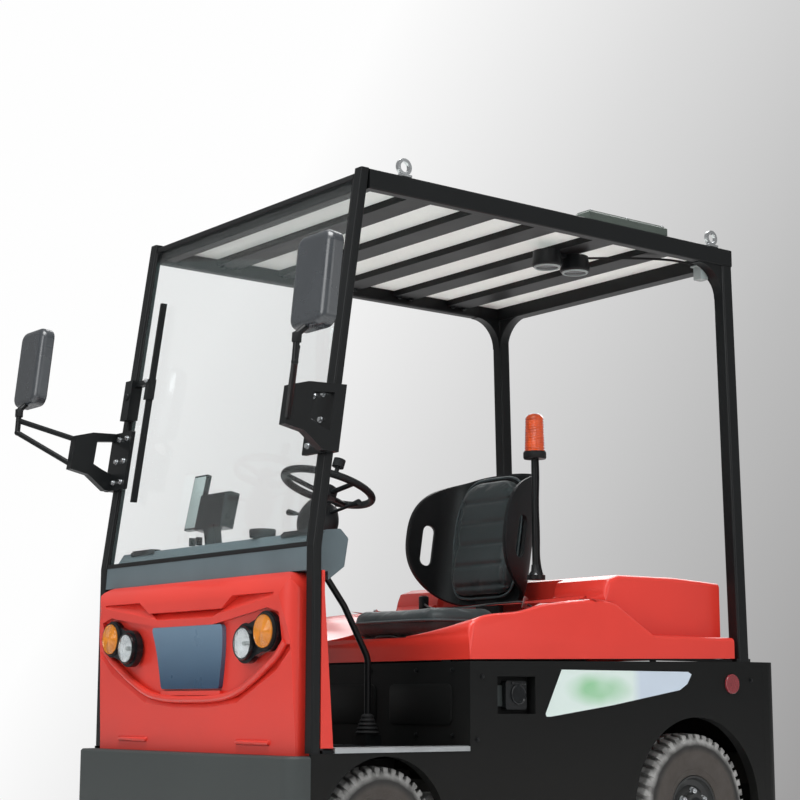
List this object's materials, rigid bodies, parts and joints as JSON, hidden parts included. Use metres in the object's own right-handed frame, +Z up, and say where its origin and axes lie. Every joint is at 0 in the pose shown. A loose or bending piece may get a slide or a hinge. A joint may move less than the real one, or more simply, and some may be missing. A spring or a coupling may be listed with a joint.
{
  "type": "airport baggage tug",
  "caption": "Electric baggage tow tractor with an open overhead guard, steered front axle, tipping seat hood and rear drop-pin hitch.",
  "frame": {"origin": "on the floor under the middle of the overall length and width", "axes": "+X forward, +Y to the driver's left, +Z up"},
  "size_m": [2.32, 1.798, 2.1582],
  "materials": {
    "frame_black": "satin",
    "body_black": "satin",
    "bumper_grey": "satin",
    "red_paint": "gloss",
    "guard_black": "satin",
    "roof_cream": "matt",
    "floor_mat": "ribbed",
    "step_metal": "brushed",
    "battery_case": "matt",
    "plate_blue": "gloss",
    "black_plastic": "fine texture",
    "dash_grey": "fine texture",
    "clear_lens": "clear, ribbed",
    "amber_lens": "clear amber",
    "red_lens": "clear red",
    "windscreen_glass": "clear",
    "seat_vinyl": "grained vinyl",
    "tyre_rubber": "matt",
    "rim_paint": "satin"
  },
  "bodies": {
    "root": {"chassis_frame": "frame_black", "front_bumper": "bumper_grey", "side_panel_left": "body_black", "side_panel_right": "body_black", "tail_panel": "body_black", "floor_plate": "floor_mat", "step_trims": "step_metal", "seat_box": "body_black", "battery": "battery_case", "nose_cowl": "red_paint", "nose_plate": "plate_blue", "lamp_housings": "black_plastic", "headlamps": "clear_lens", "indicators": "amber_lens", "dashboard": "dash_grey", "kick_panel": "body_black", "dash_display": "black_plastic", "guard_pillars": "guard_black", "guard_posts": "guard_black", "roof_frame": "guard_black", "roof_panel": "roof_cream", "windscreen": "windscreen_glass", "wiper": "black_plastic", "mirror_arms": "guard_black", "mirror_heads": "black_plastic", "steering_column": "black_plastic", "driver_controls": "black_plastic", "lifting_eyes": "step_metal", "roof_box": "guard_black", "roof_lamps": "black_plastic", "tow_hitch": "frame_black", "rear_lamps": "red_lens", "side_reflectors": "red_lens", "service_covers": "black_plastic", "front_axle": "frame_black", "rear_axle": "frame_black", "hood_hinges": "frame_black"},
    "hood": {"hood": "red_paint", "seat_cushion": "seat_vinyl", "seat_back": "seat_vinyl", "seat_frame": "black_plastic", "beacon_pole": "guard_black", "beacon_lens": "amber_lens"},
    "steering_wheel": {"steering_wheel": "black_plastic"},
    "knuckle_left": {"knuckle_left": "frame_black"},
    "knuckle_right": {"knuckle_right": "frame_black"},
    "tie_rod": {"tie_rod": "frame_black"},
    "wheel_front_left": {"tyre_front_left": "tyre_rubber", "rim_front_left": "rim_paint"},
    "wheel_front_right": {"tyre_front_right": "tyre_rubber", "rim_front_right": "rim_paint"},
    "wheel_rear_left": {"tyre_rear_left": "tyre_rubber", "rim_rear_left": "rim_paint"},
    "wheel_rear_right": {"tyre_rear_right": "tyre_rubber", "rim_rear_right": "rim_paint"},
    "tow_pin": {"tow_pin": "step_metal"}
  },
  "joints": [
    {"name": "hood_tip", "type": "hinge", "parent": "root", "child": "hood", "pos_m": [-0.742, 0, 0.76], "axis": [0, -1, 0], "range_deg": [0, 45]},
    {"name": "steer_left", "type": "hinge", "parent": "root", "child": "knuckle_left", "pos_m": [0.686, 0.436, 0.195], "axis": [0, 0, 1], "range_deg": [-30, 30]},
    {"name": "steer_right", "type": "hinge", "parent": "root", "child": "knuckle_right", "pos_m": [0.686, -0.436, 0.195], "axis": [0, 0, 1], "range_deg": [-30, 30]},
    {"name": "tie_rod_slide", "type": "slide", "parent": "root", "child": "tie_rod", "axis": [0, 1, 0], "range_m": [-0.058, 0.058]},
    {"name": "steering_wheel_turn", "type": "hinge", "parent": "root", "child": "steering_wheel", "pos_m": [0.458, 0, 1.242], "axis": [-0.3247, 0, 0.9458], "range_deg": [-360.5, 360.5]},
    {"name": "roll_front_left", "type": "hinge", "parent": "knuckle_left", "child": "wheel_front_left", "pos_m": [0.686, 0.53, 0.195], "axis": [0, 1, 0], "continuous": true},
    {"name": "roll_front_right", "type": "hinge", "parent": "knuckle_right", "child": "wheel_front_right", "pos_m": [0.686, -0.53, 0.195], "axis": [0, 1, 0], "continuous": true},
    {"name": "roll_rear_left", "type": "hinge", "parent": "root", "child": "wheel_rear_left", "pos_m": [-0.577, 0.526, 0.235], "axis": [0, 1, 0], "continuous": true},
    {"name": "roll_rear_right", "type": "hinge", "parent": "root", "child": "wheel_rear_right", "pos_m": [-0.577, -0.526, 0.235], "axis": [0, 1, 0], "continuous": true},
    {"name": "tow_pin_lift", "type": "slide", "parent": "root", "child": "tow_pin", "axis": [0, 0, 1], "range_m": [0, 0.1]}
  ],
  "couplings": [
    {"joint": "steer_right", "follows": "steer_left", "ratio": 1},
    {"joint": "tie_rod_slide", "follows": "steer_left", "m_per_rad": -0.11},
    {"joint": "steering_wheel_turn", "follows": "steer_left", "ratio": 12}
  ]
}
